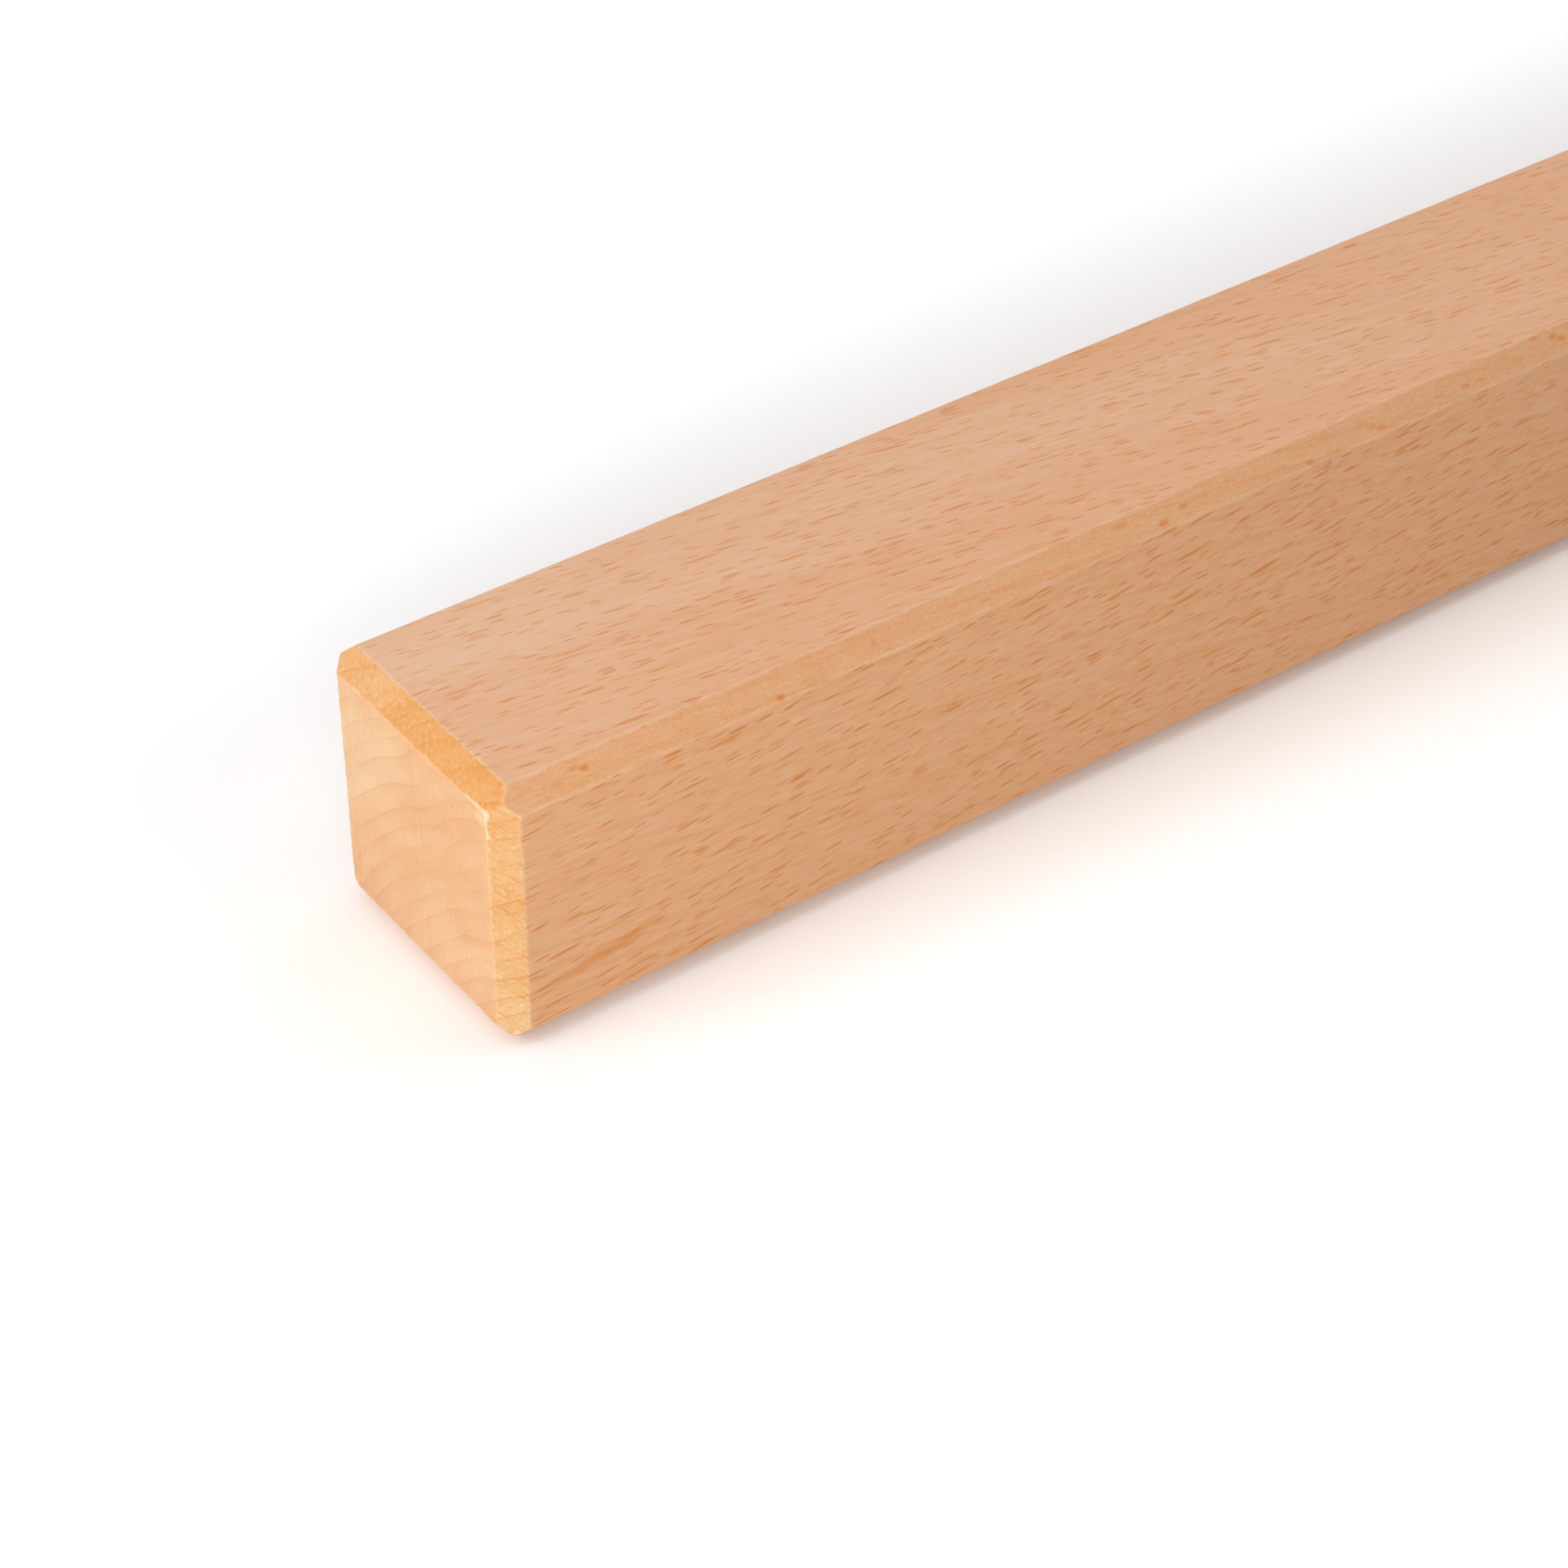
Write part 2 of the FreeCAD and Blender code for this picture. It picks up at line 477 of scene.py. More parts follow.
# %% Sew the mesh
FINISHES = (
    "planed top",
    "planed side",
    "planed long bevel",
    "sawn end face",
    "end bevel top",
    "end bevel side",
)
PLANED_TOP, PLANED_SIDE, LONG_BEVEL, END_FACE, END_BEVEL_TOP, END_BEVEL_SIDE = range(len(FINISHES))
TOP_AND_BOTTOM = (0, 2)

vertices = ((points + (0, 0, centre[2])) * MM).tolist()
side_size = len(along_flat) + len(along_slope)
faces = []
cuts = []
for row in range(len(stations) - 1):
    from_near = (stations[row][0] + stations[row + 1][0]) / 2
    drop = min(from_near, 2 * half[0] - from_near)
    for step in range(loop_size):
        following = (step + 1) % loop_size
        here, there = row * loop_size, (row + 1) * loop_size
        faces.append((here + step, there + step, there + following, here + following))
        side, place = divmod(step, side_size)
        on_slope = place >= len(along_flat) - 1
        if drop == 0:
            cuts.append(END_FACE)
        elif drop < END_BEVEL and not (on_slope and drop > END_BEVEL / 2):
            cuts.append(END_BEVEL_TOP if side in TOP_AND_BOTTOM else END_BEVEL_SIDE)
        elif on_slope:
            cuts.append(LONG_BEVEL)
        else:
            # The top and bottom take the top finish, whose paler tone is a painted sheen
            cuts.append(PLANED_TOP if side in TOP_AND_BOTTOM else PLANED_SIDE)
faces.append(tuple(range(loop_size)))
faces.append(tuple(reversed(range(len(vertices) - loop_size, len(vertices)))))
cuts += [END_FACE, END_FACE]

rail_mesh = bpy.data.meshes.new("rail")
rail_mesh.from_pydata(vertices, [], faces)
rail_mesh.polygons.foreach_set("material_index", cuts)
rail_mesh.polygons.foreach_set("use_smooth", [True] * len(faces))
rail_mesh.attributes.new("arris", "FLOAT", "POINT").data.foreach_set("value", arris.astype(np.float32))
rail_mesh.attributes.new("torn", "FLOAT", "POINT").data.foreach_set("value", torn.astype(np.float32))
rail_mesh.validate()
rail_mesh.update()
rail = bpy.data.objects.new("rail", rail_mesh)
bpy.context.scene.collection.objects.link(rail)
print(len(vertices), "points and", len(faces), "faces")

# %% [markdown]
# Every cut of the rail shows the same wood, so each effect is a shader group: it is built once and
# placed in all the materials, with values of their own. An image would have to be fitted to every face,
# and its joins would show. Four more helpers are needed: one puts a vector together, one starts a group
# with named sockets, one stretches a pattern, and one gives soft noise in patches of a given size.

# %% Helpers for shader groups
HALFWAY = 0.5


def put_together(tree, x, y, z):
    """A vector of three parts."""
    node = put(tree, "ShaderNodeCombineXYZ")
    for socket, value in zip(node.inputs, (x, y, z)):
        feed(tree, socket, value)
    return node.outputs["Vector"]


def new_group(name, inputs, outputs):
    """An empty group with named sockets. An input starts at a number, or is a vector if that is None."""
    tree = bpy.data.node_groups.new(name, "ShaderNodeTree")
    for label, value in inputs.items():
        kind = "NodeSocketVector" if value is None else "NodeSocketFloat"
        socket = tree.interface.new_socket(label, in_out="INPUT", socket_type=kind)
        if value is not None:
            socket.default_value = value
    for label, kind in outputs.items():
        tree.interface.new_socket(label, in_out="OUTPUT", socket_type=f"NodeSocket{kind}")
    return tree, put(tree, "NodeGroupInput").outputs, put(tree, "NodeGroupOutput").inputs


def stretched(tree, vector, sizes):
    """Divides a vector by three sizes: a pattern of unit size comes out that long, deep and thick."""
    node = put(tree, "ShaderNodeVectorMath", operation="DIVIDE")
    feed(tree, node.inputs[0], vector)
    feed(tree, node.inputs[1], sizes)
    return node.outputs["Vector"]


def cloudy(tree, vector, sizes, detail=0.0, roughness=0.5):
    """Soft noise about zero whose patches have the given sizes in millimetres."""
    node = put(tree, "ShaderNodeTexNoise")
    feed(tree, node.inputs["Vector"], stretched(tree, vector, sizes))
    node.inputs["Scale"].default_value = 1.0
    node.inputs["Detail"].default_value = detail
    node.inputs["Roughness"].default_value = roughness
    return calc(tree, "SUBTRACT", node.outputs["Fac"], HALFWAY)


print("Helpers for shader groups are ready")

# %% [markdown]
# Wood is a solid texture: the same rings and rays run right through the stick and are cut by its faces.
# So the first shader group turns a place on the rail into a place in the tree. Along is the way of the
# fibres, which sway from side to side over the rail's length, Radius is the distance from the tree's
# heart, and Around runs along the rings, with a slight wobble. The plain place on the rail is put out
# too, for the marks of the saw. The same sum in Python says where in the tree a given place lies.

# %% Shader group: where in the tree
HEART_ACROSS = -76.7
HEART_UP = -51.65
RAY_TILT = math.radians(45.0)
SWAY_ACROSS = 20.0
SWAY_ACROSS_LENGTH = 900.0
SWAY_ACROSS_TURN = 2 * math.pi / SWAY_ACROSS_LENGTH
SWAY_ACROSS_STEEPEST = -385.0
SWAY_UP = 1.5
SWAY_UP_LENGTH = 620.0
SWAY_UP_TURN = 2 * math.pi / SWAY_UP_LENGTH
WOBBLE_PATCH = (9.0, 9.0, 2.5)
WOBBLE = 0.5


def where_in_the_tree():
    tree, _, result = new_group("where in the tree", {}, {"Grain": "Vector", "Place": "Vector"})
    in_mm = put(tree, "ShaderNodeVectorMath", operation="SCALE")
    feed(tree, in_mm.inputs["Vector"], put(tree, "ShaderNodeTexCoord").outputs["Object"])
    in_mm.inputs["Scale"].default_value = 1 / MM
    x, y, z = put_apart(tree, in_mm.outputs["Vector"])
    bend = calc(tree, "MULTIPLY", calc(tree, "SUBTRACT", x, SWAY_ACROSS_STEEPEST), SWAY_ACROSS_TURN)
    y = calc(tree, "MULTIPLY_ADD", calc(tree, "SINE", bend), SWAY_ACROSS, y)
    rise = calc(tree, "SINE", calc(tree, "MULTIPLY", x, SWAY_UP_TURN))
    z = calc(tree, "MULTIPLY_ADD", rise, -SWAY_UP, z)
    from_heart = put_together(
        tree, 0.0, calc(tree, "SUBTRACT", y, HEART_ACROSS), calc(tree, "SUBTRACT", z, HEART_UP)
    )
    radius = put(tree, "ShaderNodeVectorMath", operation="LENGTH")
    feed(tree, radius.inputs[0], from_heart)
    around = calc(tree, "MULTIPLY", y, math.cos(RAY_TILT))
    around = calc(tree, "MULTIPLY_ADD", z, -math.sin(RAY_TILT), around)
    wobble = cloudy(tree, put_together(tree, x, radius.outputs["Value"], around), WOBBLE_PATCH)
    around = calc(tree, "MULTIPLY_ADD", wobble, WOBBLE, around)
    feed(tree, result["Grain"], put_together(tree, x, radius.outputs["Value"], around))
    feed(tree, result["Place"], in_mm.outputs["Vector"])
    return tree


def tree_place(x, y, z):
    """Along, Radius and Around of a place on the rail in millimetres, without the wobble."""
    y += SWAY_ACROSS * math.sin((x - SWAY_ACROSS_STEEPEST) * SWAY_ACROSS_TURN)
    z -= SWAY_UP * math.sin(x * SWAY_UP_TURN)
    radius = math.hypot(y - HEART_ACROSS, z - HEART_UP)
    return x, radius, y * math.cos(RAY_TILT) - z * math.sin(RAY_TILT)


TREE_PLACE = where_in_the_tree()
near_end_middle = tree_place(-half[0], 0.0, centre[2])
print("Group:", TREE_PLACE.name, "- the near end's middle is at", [round(v, 1) for v in near_end_middle])

# %% [markdown]
# Growth rings: each year ends in denser, darker wood, then a hair-thin dark line, and the next year
# starts pale. The rings are a little wavy and ragged and not evenly wide, and they dip together at one
# place, where a broad ray held the growth back. So the radius is pushed about by soft noise and one dip
# before it is cut into years. Another noise lets the lines fade in and out.

# %% Shader group: growth rings
RING_WAVE_PATCH = (260.0, 60.0, 11.0)
RING_WAVE = 1.1
DIP_PLACE = -32.0
DIP_HALF = 7.0
DIP_DEPTH = 0.8
RING_WIDTH_PATCH = (400.0, 6.0, 60.0)
RING_WIDTH_SHIFT = 2.4
RING_RAG_PATCH = (30.0, 2.0, 1.2)
RING_RAG_DETAIL = 1.0
RING_RAG = 0.22
RING_FADE_PATCH = (150.0, 7.0, 7.0)
RING_FADE_SPAN = 0.15
FAINTEST_RING = 0.5
RING_SPACING = 2.95
LATE_START = 0.35
LINE_START = 0.86
LINE_PEAK = 0.96


def growth_rings():
    masks = {"Latewood": "Float", "Line": "Float"}
    tree, given, result = new_group("growth rings", {"Grain": None}, masks)
    _, radius, around = put_apart(tree, given["Grain"])
    wave = cloudy(tree, given["Grain"], RING_WAVE_PATCH)
    width = cloudy(tree, given["Grain"], RING_WIDTH_PATCH)
    pushed = calc(tree, "MULTIPLY_ADD", wave, RING_WAVE, radius)
    pushed = calc(tree, "MULTIPLY_ADD", width, RING_WIDTH_SHIFT, pushed)
    from_dip = calc(tree, "ABSOLUTE", calc(tree, "SUBTRACT", around, DIP_PLACE))
    pushed = calc(tree, "ADD", ramp(tree, from_dip, 0.0, DIP_HALF, DIP_DEPTH, 0.0), pushed)
    rag = cloudy(tree, given["Grain"], RING_RAG_PATCH, RING_RAG_DETAIL)
    pushed = calc(tree, "MULTIPLY_ADD", rag, RING_RAG, pushed)
    year = calc(tree, "FRACT", calc(tree, "DIVIDE", pushed, RING_SPACING))
    fade = cloudy(tree, given["Grain"], RING_FADE_PATCH)
    fade = ramp(tree, fade, -RING_FADE_SPAN, RING_FADE_SPAN, FAINTEST_RING, 1.0)
    fall = calc(tree, "MULTIPLY", ramp(tree, year, LINE_PEAK, 1.0, 1.0, 0.0), fade)
    feed(tree, result["Latewood"], calc(tree, "MULTIPLY", ramp(tree, year, LATE_START, LINE_PEAK), fall))
    feed(tree, result["Line"], calc(tree, "MULTIPLY", ramp(tree, year, LINE_START, LINE_PEAK), fall))
    return tree


RINGS = growth_rings()
print("Group:", RINGS.name)

# %% [markdown]
# Beech is known by its rays: thin dark ribbons that stand upright in the tree and point at its heart.
# Cut across, they show as short dashes, cut flat, as blotches, and on the end, as hairlines. Each cell
# of a stretched Voronoi pattern holds one ribbon, with its own size and darkness from the cell's random
# colour.

# %% Shader group: ray flecks
SMALLEST_RAY = 0.5
RAY_CORE = 0.58
PALEST_RAY = 0.3


def ray_flecks():
    tree, given, result = new_group(
        "ray flecks",
        {"Grain": None, "Half Length": 1.0, "Half Depth": 1.0, "Half Thickness": 1.0, "Spread": 1.0},
        {"Fleck": "Float"},
    )
    sizes = [
        calc(tree, "MULTIPLY", given[label], given["Spread"])
        for label in ("Half Length", "Half Depth", "Half Thickness")
    ]
    cells = put(tree, "ShaderNodeTexVoronoi", voronoi_dimensions="3D", feature="F1")
    feed(tree, cells.inputs["Vector"], stretched(tree, given["Grain"], put_together(tree, *sizes)))
    cells.inputs["Scale"].default_value = 1.0
    away = calc(tree, "MULTIPLY", cells.outputs["Distance"], given["Spread"])
    size_draw, dark_draw, _ = put_apart(tree, cells.outputs["Color"])
    reach = calc(tree, "MULTIPLY_ADD", size_draw, 1.0 - SMALLEST_RAY, SMALLEST_RAY)
    body = ramp(tree, calc(tree, "DIVIDE", away, reach), RAY_CORE, 1.0, 1.0, 0.0)
    darkness = calc(tree, "MULTIPLY_ADD", dark_draw, 1.0 - PALEST_RAY, PALEST_RAY)
    feed(tree, result["Fleck"], calc(tree, "MULTIPLY", body, darkness))
    return tree


RAYS = ray_flecks()
print("Group:", RAYS.name)

# %% [markdown]
# Between the rays lies the ground of the wood: fibres as fine streaks, and broad soft clouds where the
# colour drifts. Both follow the fibres, so they come out long on the sides and as dots on the end.

# %% Shader group: fibres
STREAK_PATCH = (11.0, 0.55, 0.5)
STREAK_DETAIL = 3.0
STREAK_ROUGHNESS = 0.65
BROAD_PATCH = (60.0, 5.0, 14.0)
BROAD_DETAIL = 2.0


def fibres():
    tree, given, result = new_group("fibres", {"Grain": None}, {"Streak": "Float", "Cloud": "Float"})
    streak = cloudy(tree, given["Grain"], STREAK_PATCH, STREAK_DETAIL, STREAK_ROUGHNESS)
    cloud = cloudy(tree, given["Grain"], BROAD_PATCH, BROAD_DETAIL)
    feed(tree, result["Streak"], streak)
    feed(tree, result["Cloud"], cloud)
    return tree


FIBRES = fibres()
print("Group:", FIBRES.name)

# %% [markdown]
# Where a blade crosses the fibres it leaves their broken ends: a fine grit of darker pits, and here and
# there a pale speck where a bundle of fibres stands up. How long, deep and thick the grains are depends
# on the cut.

# %% Shader group: cut fibre ends
GRIT_DETAIL = 1.0
GRIT_ROUGHNESS = 0.6
SPECK_START = 0.17
SPECK_FULL = 0.26


def cut_ends():
    tree, given, result = new_group(
        "cut fibre ends",
        {"Grain": None, "Length": 1.0, "Depth": 1.0, "Thickness": 1.0},
        {"Grit": "Float", "Speck": "Float"},
    )
    sizes = put_together(tree, given["Length"], given["Depth"], given["Thickness"])
    grit = cloudy(tree, given["Grain"], sizes, GRIT_DETAIL, GRIT_ROUGHNESS)
    feed(tree, result["Grit"], grit)
    feed(tree, result["Speck"], ramp(tree, grit, SPECK_START, SPECK_FULL))
    return tree


CUT_ENDS = cut_ends()
print("Group:", CUT_ENDS.name)

# %% [markdown]
# The edges are paler than the faces: partly sanding wear, partly a painted highlight where the eased
# arris catches the light. Torn fibres are palest of all. The mesh knows how close each point is to an
# edge and how deep it is torn, and noise breaks the pale line up.

# %% Shader group: edge wear and painted highlight
WEAR_AND_HIGHLIGHT_PATCH = (2.5, 1.2, 1.2)
WEAR_AND_HIGHLIGHT_DETAIL = 1.0
WEAR_AND_HIGHLIGHT_SPAN = 0.2
LEAST_WEAR_AND_HIGHLIGHT = 0.55
WEAR_AND_HIGHLIGHT_START = 0.4
WEAR_AND_HIGHLIGHT_FULL = 0.8
TORN_START = 0.06
TORN_FULL = 0.16


def wear_and_highlight_edges():
    tree, given, result = new_group("edge wear and highlight", {"Grain": None}, {"Wear And Highlight": "Float", "Torn": "Float"})
    arris_value = put(tree, "ShaderNodeAttribute", attribute_name="arris").outputs["Fac"]
    torn_value = put(tree, "ShaderNodeAttribute", attribute_name="torn").outputs["Fac"]
    patchy = cloudy(tree, given["Grain"], WEAR_AND_HIGHLIGHT_PATCH, WEAR_AND_HIGHLIGHT_DETAIL)
    patchy = ramp(tree, patchy, -WEAR_AND_HIGHLIGHT_SPAN, WEAR_AND_HIGHLIGHT_SPAN, LEAST_WEAR_AND_HIGHLIGHT, 1.0)
    # The pale edge is partly wear and partly a painted highlight where the arris catches the light
    near_edge = ramp(tree, arris_value, WEAR_AND_HIGHLIGHT_START, WEAR_AND_HIGHLIGHT_FULL)
    feed(tree, result["Wear And Highlight"], calc(tree, "MULTIPLY", near_edge, patchy))
    feed(tree, result["Torn"], ramp(tree, torn_value, TORN_START, TORN_FULL))
    return tree


EDGE_WEAR_AND_HIGHLIGHT = wear_and_highlight_edges()
print("Group:", EDGE_WEAR_AND_HIGHLIGHT.name)

# %% [markdown]
# A mark is a soft spot at one place: a pale corner, a brown streak or a dark speck. It is as long, deep
# and thick in the tree as its half sizes say, and noise makes its rim ragged.

# %% Shader group: soft mark
MARK_CORE = 0.3
MARK_RAG = 0.9
MARK_RAG_PATCH = (0.5, 0.5, 0.5)
MARK_RAG_DETAIL = 1.0


def soft_mark():
    tree, given, result = new_group(
        "soft mark", {"Grain": None, "Centre": None, "Half Sizes": None}, {"Mark": "Float"}
    )
    offset = put(tree, "ShaderNodeVectorMath", operation="SUBTRACT")
    feed(tree, offset.inputs[0], given["Grain"])
    feed(tree, offset.inputs[1], given["Centre"])
    sized = stretched(tree, offset.outputs["Vector"], given["Half Sizes"])
    away = put(tree, "ShaderNodeVectorMath", operation="LENGTH")
    feed(tree, away.inputs[0], sized)
    rag = cloudy(tree, sized, MARK_RAG_PATCH, MARK_RAG_DETAIL)
    ragged = calc(tree, "MULTIPLY_ADD", rag, MARK_RAG, away.outputs["Value"])
    feed(tree, result["Mark"], ramp(tree, ragged, MARK_CORE, 1.0, 1.0, 0.0))
    return tree


MARKS = soft_mark()
print("Group:", MARKS.name)

# %% [markdown]
# Every shade of beech looks as if the wood had more or less of one brown stain in it, which takes a
# little of the red light away, half of the green and most of the blue. So each cut has one average tone
# and one stain, and all the features add to or take from the amount of it. Each whole measure leaves
# its share of the three colours.

# %% Shader group: brown stain
def brown_stain():
    tree, given, result = new_group(
        "brown stain", {"Tone": None, "Leaves": None, "Stain": 0.0}, {"Colour": "Color"}
    )
    left = [calc(tree, "POWER", share, given["Stain"]) for share in put_apart(tree, given["Leaves"])]
    node = put(tree, "ShaderNodeVectorMath", operation="MULTIPLY")
    feed(tree, node.inputs[0], put_together(tree, *left))
    feed(tree, node.inputs[1], given["Tone"])
    feed(tree, result["Colour"], node.outputs["Vector"])
    return tree


STAIN = brown_stain()
print("Group:", STAIN.name)

# %% [markdown]
# Now the finishes. A material places the groups with its own values, and three small helpers do that. A
# mark is given by its place on the rail, which has to be turned into a place in the tree. Rays that
# cross don't get darker, so of two kinds of rays the darker one counts.

# %% Helpers for the wood finish
def group_node(tree, group, **values):
    """Places a group in a material with its own values, and returns its outputs."""
    node = put(tree, "ShaderNodeGroup", node_tree=group)
    for label, value in values.items():
        feed(tree, node.inputs[label.replace("_", " ")], value)
    return node.outputs


def mark_at(tree, grain, place, half_sizes):
    """A soft mark at a place on the rail, with half sizes along, deep and around."""
    return group_node(tree, MARKS, Grain=grain, Centre=tree_place(*place), Half_Sizes=half_sizes)["Mark"]


def darkest_ray(tree, grain, rays):
    """The darker of the small and the large rays. Each kind has its sizes and its weight."""
    darkest = 0.0
    for sizes, weight in rays:
        fleck = group_node(tree, RAYS, Grain=grain, **sizes)["Fleck"]
        darkest = calc(tree, "MAXIMUM", calc(tree, "MULTIPLY", fleck, weight), darkest)
    return darkest


print("Helpers for the wood finish are ready")

# %% [markdown]
# One function makes the material of every cut, and the cut's look says how strongly each feature shows
# on it. The rays and all the other features add up to one amount of stain. A smudge is dirt on the wood
# and not in it, so it is laid over the colour at the end. The relief is less than a hair's breadth and
# follows the fibres, or their broken ends where the blade crossed them.

# %% Wood finish
PALE_TORN = (0.88, 0.62, 0.43, 1.0)
SMUDGE_COLOUR = (0.20, 0.09, 0.12, 1.0)
SAW_PATCH = (200.0, 0.5, 60.0)
SAW_DETAIL = 2.0
SHINE = 0.2
ROUGH_SWING = 0.15
RELIEF = 0.00001


def wood_finish(name, look):
    """One cut's material. look holds its tone and how strongly each feature of the wood shows on it."""
    material = bpy.data.materials.new(name)
    material.use_nodes = True
    tree = material.node_tree
    tree.nodes.clear()
    where = group_node(tree, TREE_PLACE)
    grain = where["Grain"]
    ground = group_node(tree, FIBRES, Grain=grain)
    rings = group_node(tree, RINGS, Grain=grain)
    edges = group_node(tree, EDGE_WEAR_AND_HIGHLIGHT, Grain=grain)
    relief = ground["Streak"]
    features = [
        (ground["Cloud"], look["cloud"]),
        (ground["Streak"], look["streak"]),
        (rings["Latewood"], look["late"]),
        (rings["Line"], look["line"]),
        # Paler near every edge: sanding wear and a painted highlight on the arris
        (edges["Wear And Highlight"], -look["wear_and_highlight"]),
    ]
    if look["grit"]:
        ends = group_node(tree, CUT_ENDS, Grain=grain, **look["grains"])
        features += [(ends["Grit"], -look["grit"]), (ends["Speck"], -look["speck"])]
        relief = ends["Grit"]
    if look["saw"]:
        features.append((cloudy(tree, where["Place"], SAW_PATCH, SAW_DETAIL), look["saw"]))
    for place, half_sizes, weight in look["marks"]:
        features.append((mark_at(tree, grain, place, half_sizes), weight))
    stain = darkest_ray(tree, grain, look["rays"])
    for mask, weight in features:
        stain = calc(tree, "MULTIPLY_ADD", mask, weight, stain)
    colour = group_node(tree, STAIN, Tone=look["tone"], Leaves=look["leaves"], Stain=stain)["Colour"]
    colour = tint(tree, calc(tree, "MULTIPLY", edges["Torn"], look["torn"]), colour, PALE_TORN)
    for place, half_sizes, amount in look["smudges"]:
        dirt = calc(tree, "MULTIPLY", mark_at(tree, grain, place, half_sizes), amount)
        colour = tint(tree, dirt, colour, SMUDGE_COLOUR)

    shader = put(tree, "ShaderNodeBsdfPrincipled")
    feed(tree, shader.inputs["Base Color"], colour)
    shader.inputs["Specular IOR Level"].default_value = SHINE
    rough = calc(tree, "MULTIPLY_ADD", ground["Streak"], ROUGH_SWING, look["rough"])
    feed(tree, shader.inputs["Roughness"], rough)
    bump = put(tree, "ShaderNodeBump")
    bump.inputs["Distance"].default_value = RELIEF * look["relief"]
    feed(tree, bump.inputs["Height"], relief)
    feed(tree, shader.inputs["Normal"], bump.outputs["Normal"])
    feed(tree, put(tree, "ShaderNodeOutputMaterial").inputs["Surface"], shader.outputs["BSDF"])
    return material


print("The wood finish is ready for", len(FINISHES), "cuts")

# %% [markdown]
# This rail has marks of its own. The top is painted paler and whiter along its back edge, a painted
# sheen from the light behind, and it is paler near the end. The end face and its bevels are paler
# towards the back and at the foot. A brown streak runs low on the front near the end, and there is a
# smudge, a dark speck and a pale chip. Each mark has a place on the rail in millimetres, its half sizes
# in the tree, and how much stain it adds or takes away.

# %% Marks of this rail
# Painted sheen: the top is made paler and whiter along its back edge
SHEEN_ALONG_TOP_BACK = ((-500.0, 17.0, 39.0), (260.0, 16.0, 16.0), -0.14)
PALE_START = ((-500.0, 2.0, 40.0), (50.0, 40.0, 40.0), -0.10)
PALE_BACK = ((-500.0, 17.0, 27.0), (50.0, 17.0, 22.0), -0.25)
PALE_FOOT = ((-500.0, -3.0, 3.0), (50.0, 15.0, 22.0), -0.17)
PALE_BEVEL_BACK = ((-498.5, 16.0, 38.5), (40.0, 14.0, 14.0), -0.26)
PALE_BEVEL_FOOT = ((-498.5, -18.5, 3.0), (40.0, 9.0, 9.0), -0.22)
SMUDGE = ((-368.0, -20.0, 35.9), (1.1, 4.0, 1.0), 0.24)
BROWN_STREAKS = (
    ((-492.0, -20.0, 8.9), (5.0, 4.0, 0.6), 0.15),
    ((-489.0, -20.0, 9.6), (6.0, 4.0, 0.9), 0.22),
    ((-484.5, -20.0, 10.5), (6.0, 4.0, 1.1), 0.29),
    ((-480.0, -20.0, 11.4), (4.0, 4.0, 0.8), 0.22),
)
SPECK = ((-500.0, -9.5, 33.1), (3.0, 0.28, 0.28), 0.7)
PALE_CHIP = ((-500.0, -16.0, 35.4), (3.0, 1.6, 1.2), -0.35)
print(len(BROWN_STREAKS), "marks make up the brown streak")

# %% [markdown]
# Small orange spots lie on the upper front bevel, where the plane crushed the ends of rays. They are
# set out as on a ruler, by their distance from the near end and the share of the way down the bevel.

# %% Spots on the long bevel
# Each row: distance from the near end, share of the way down, half length, half depth, weight
SPOTS = (
    (11.9, 0.32, 1.2, 0.45, 0.30),
    (13.2, 0.43, 1.1, 0.50, 0.56),
    (22.7, 0.05, 0.6, 0.40, 0.30),
    (41.3, 0.87, 0.9, 0.55, 0.60),
    (56.5, 0.50, 0.8, 0.70, 0.20),
    (97.0, 0.30, 1.6, 0.40, 0.30),
    (103.5, 0.75, 1.2, 0.60, 0.40),
    (107.5, 0.50, 1.1, 0.50, 0.40),
    (129.0, 0.85, 0.8, 0.55, 0.45),
    (140.9, 0.62, 1.1, 0.55, 0.35),
    (142.2, 0.76, 1.1, 0.55, 0.42),
    (153.5, 0.60, 1.3, 0.35, 0.25),
    (158.2, 0.65, 1.1, 0.50, 0.40),
    (172.5, 0.12, 1.2, 0.40, 0.42),
    (175.9, 0.30, 1.1, 0.60, 0.46),
    (177.2, 0.48, 1.1, 0.60, 0.46),
)
SPOT_THICKNESS = 3.0


def on_front_bevel(from_end, share):
    """A place on the upper front bevel, so far from the near end and by that share of the way down."""
    return from_end - half[0], EDGE_BEVEL * (1 - share) - half[1], 2 * half[2] - EDGE_BEVEL * share


ORANGE_SPOTS = tuple(
    (on_front_bevel(from_end, share), (length, depth, SPOT_THICKNESS), weight)
    for from_end, share, length, depth, weight in SPOTS
)
print(len(ORANGE_SPOTS), "spots")

# %% [markdown]
# The planed faces set the tone: smooth, pinkish and full of dark dashes. The top and bottom are painted
# paler and whiter than the sides, a painted sheen for the light that the top catches. Beech has two
# kinds of rays, many small ones and fewer large ones, each with its half sizes and how far apart it
# stands. The long bevel is cut along the rays, so they hardly show on it and it looks grainy. Each look
# starts from another and changes what differs.

# %% Looks of the planed cuts
SMALL_RAYS = {"Half_Length": 1.9, "Half_Depth": 0.8, "Half_Thickness": 0.175, "Spread": 2.42}
LARGE_RAYS = {"Half_Length": 3.6, "Half_Depth": 1.5, "Half_Thickness": 0.215, "Spread": 3.3}
SIDE_SMALL_RAYS = SMALL_RAYS | {"Spread": 2.55}
SIDE_LARGE_RAYS = LARGE_RAYS | {"Spread": 3.5}
BEVEL_RAYS = SMALL_RAYS | {"Half_Length": 2.4, "Half_Depth": 0.45}

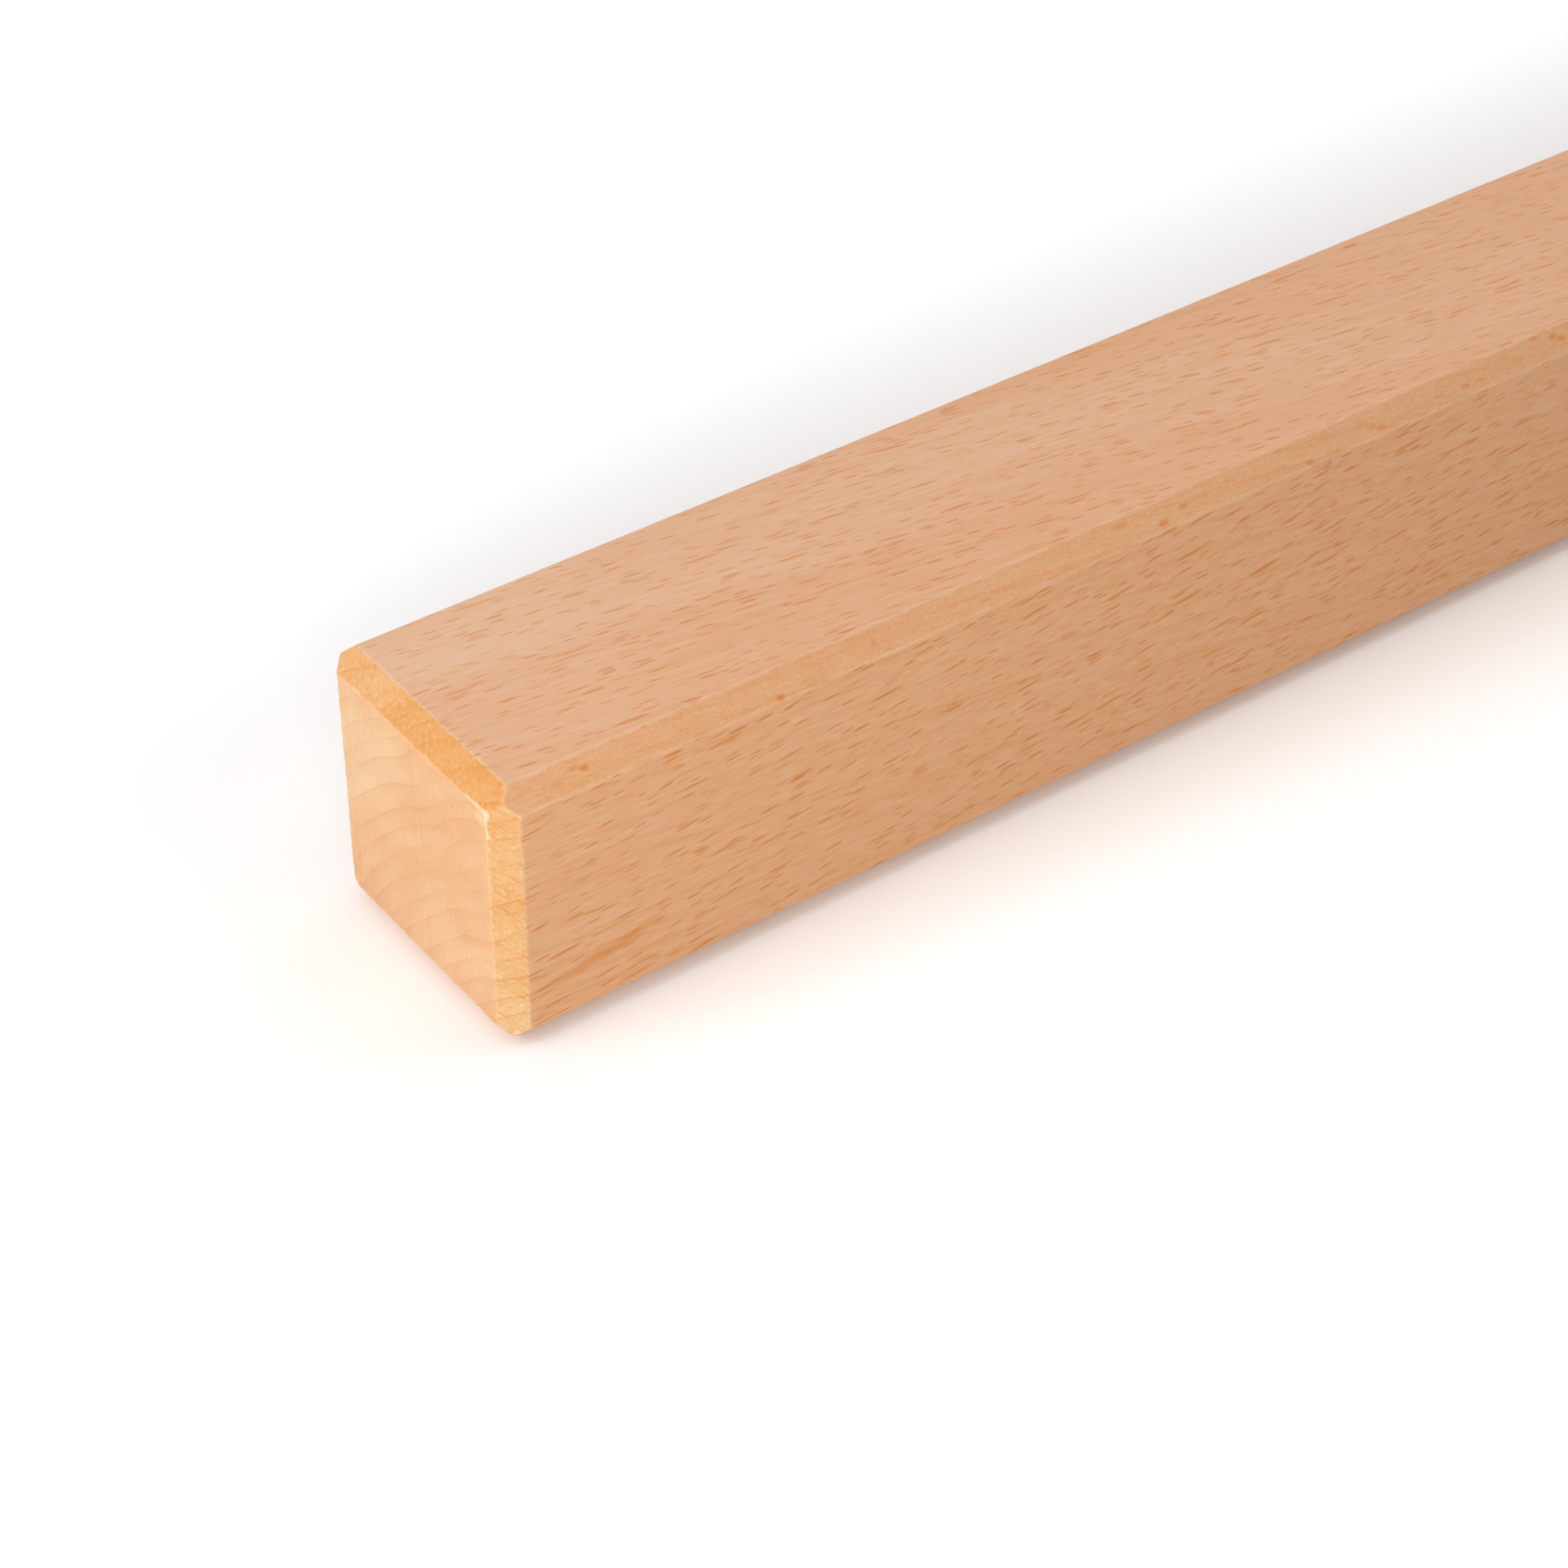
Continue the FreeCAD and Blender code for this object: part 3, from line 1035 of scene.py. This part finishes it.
TOP_LOOK = {
    # The top's paler, whiter tone is a painted sheen for the light it catches from above and behind; the
    # bottom shares it
    "tone": (0.735, 0.402, 0.226),
    "leaves": (0.84, 0.50, 0.275),
    "cloud": 0.18,
    "streak": 0.55,
    "late": 0.035,
    "line": 0.06,
    "rays": ((SMALL_RAYS, 0.66), (LARGE_RAYS, 0.66)),
    "grit": 0.0,
    "speck": 0.0,
    "wear_and_highlight": 0.15,
    "torn": 0.8,
    "saw": 0.0,
    "marks": (SHEEN_ALONG_TOP_BACK, PALE_START),
    "smudges": (),
    "rough": 0.5,
    "relief": 1.0,
}
SIDE_LOOK = TOP_LOOK | {
    "tone": (0.704, 0.371, 0.189),
    "leaves": (0.82, 0.50, 0.205),
    "streak": 0.70,
    "late": 0.06,
    "line": 0.10,
    "rays": ((SIDE_SMALL_RAYS, 0.74), (SIDE_LARGE_RAYS, 0.74)),
    "marks": BROWN_STREAKS,
    "smudges": (SMUDGE,),
}
BEVEL_LOOK = SIDE_LOOK | {
    "tone": (0.669, 0.351, 0.176),
    "leaves": (0.88, 0.50, 0.225),
    "streak": 0.45,
    "rays": ((BEVEL_RAYS, 0.16),),
    "grains": {"Length": 0.5, "Depth": 0.28, "Thickness": 0.28},
    "grit": 0.55,
    "wear_and_highlight": 0.26,
    "marks": ORANGE_SPOTS,
    "smudges": (),
    "rough": 0.58,
    "relief": 3.0,
}
print("Looks of the top, the sides and the long bevels are set")

# %% [markdown]
# The sawn end is palest and shows its rings best, with the rays as hairlines across them and faint
# upright streaks from the saw. The end bevels are rough and orange: there the blade crossed the fibres
# at a slant and broke them.

# %% Looks of the sawn cuts
END_SMALL_RAYS = SMALL_RAYS | {"Half_Depth": 2.2}
END_LARGE_RAYS = LARGE_RAYS | {"Half_Depth": 4.0}

END_FACE_LOOK = TOP_LOOK | {
    "tone": (0.735, 0.413, 0.212),
    "leaves": (0.82, 0.50, 0.34),
    "cloud": 0.55,
    "late": 0.11,
    "line": 0.12,
    "rays": ((END_SMALL_RAYS, 0.08), (END_LARGE_RAYS, 0.10)),
    "streak": 0.20,
    "grains": {"Length": 0.6, "Depth": 0.35, "Thickness": 0.35},
    "grit": 0.36,
    "wear_and_highlight": 0.12,
    "saw": 0.22,
    "marks": (PALE_BACK, PALE_FOOT, PALE_CHIP, SPECK),
    "rough": 0.6,
    "relief": 1.5,
}
END_BEVEL_TOP_LOOK = END_FACE_LOOK | {
    "tone": (0.694, 0.334, 0.118),
    "leaves": (0.86, 0.50, 0.185),
    "cloud": 0.50,
    "line": 0.14,
    "rays": ((END_SMALL_RAYS, 0.12), (END_LARGE_RAYS, 0.16)),
    "grains": {"Length": 0.6, "Depth": 0.6, "Thickness": 0.4},
    "grit": 0.75,
    "speck": 0.12,
    "saw": 0.0,
    "marks": (PALE_BEVEL_BACK,),
    "relief": 3.0,
}
END_BEVEL_SIDE_LOOK = END_BEVEL_TOP_LOOK | {
    "tone": (0.687, 0.380, 0.162),
    "leaves": (0.85, 0.50, 0.22),
    "marks": (PALE_BEVEL_FOOT,),
    "line": 0.26,
    "rays": ((END_SMALL_RAYS, 0.30), (END_LARGE_RAYS, 0.40)),
}
print("Looks of the end face and its bevels are set")

# %% [markdown]
# Each cut gets its material, in the order in which the mesh numbers the cuts. Six separate meshes could
# carry the six finishes too, but they would show seams at the edges. Six slots on one mesh keep the
# rail in one piece, as it really is.

# %% Finish the six cuts
LOOKS = (TOP_LOOK, SIDE_LOOK, BEVEL_LOOK, END_FACE_LOOK, END_BEVEL_TOP_LOOK, END_BEVEL_SIDE_LOOK)
for finish, look in zip(FINISHES, LOOKS):
    rail_mesh.materials.append(wood_finish(finish, look))
print("Finishes:", [material.name for material in rail_mesh.materials])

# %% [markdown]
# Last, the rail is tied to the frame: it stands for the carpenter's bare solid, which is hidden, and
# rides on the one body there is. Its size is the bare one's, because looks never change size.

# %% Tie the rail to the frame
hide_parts("handrail")
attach(rail, "root")
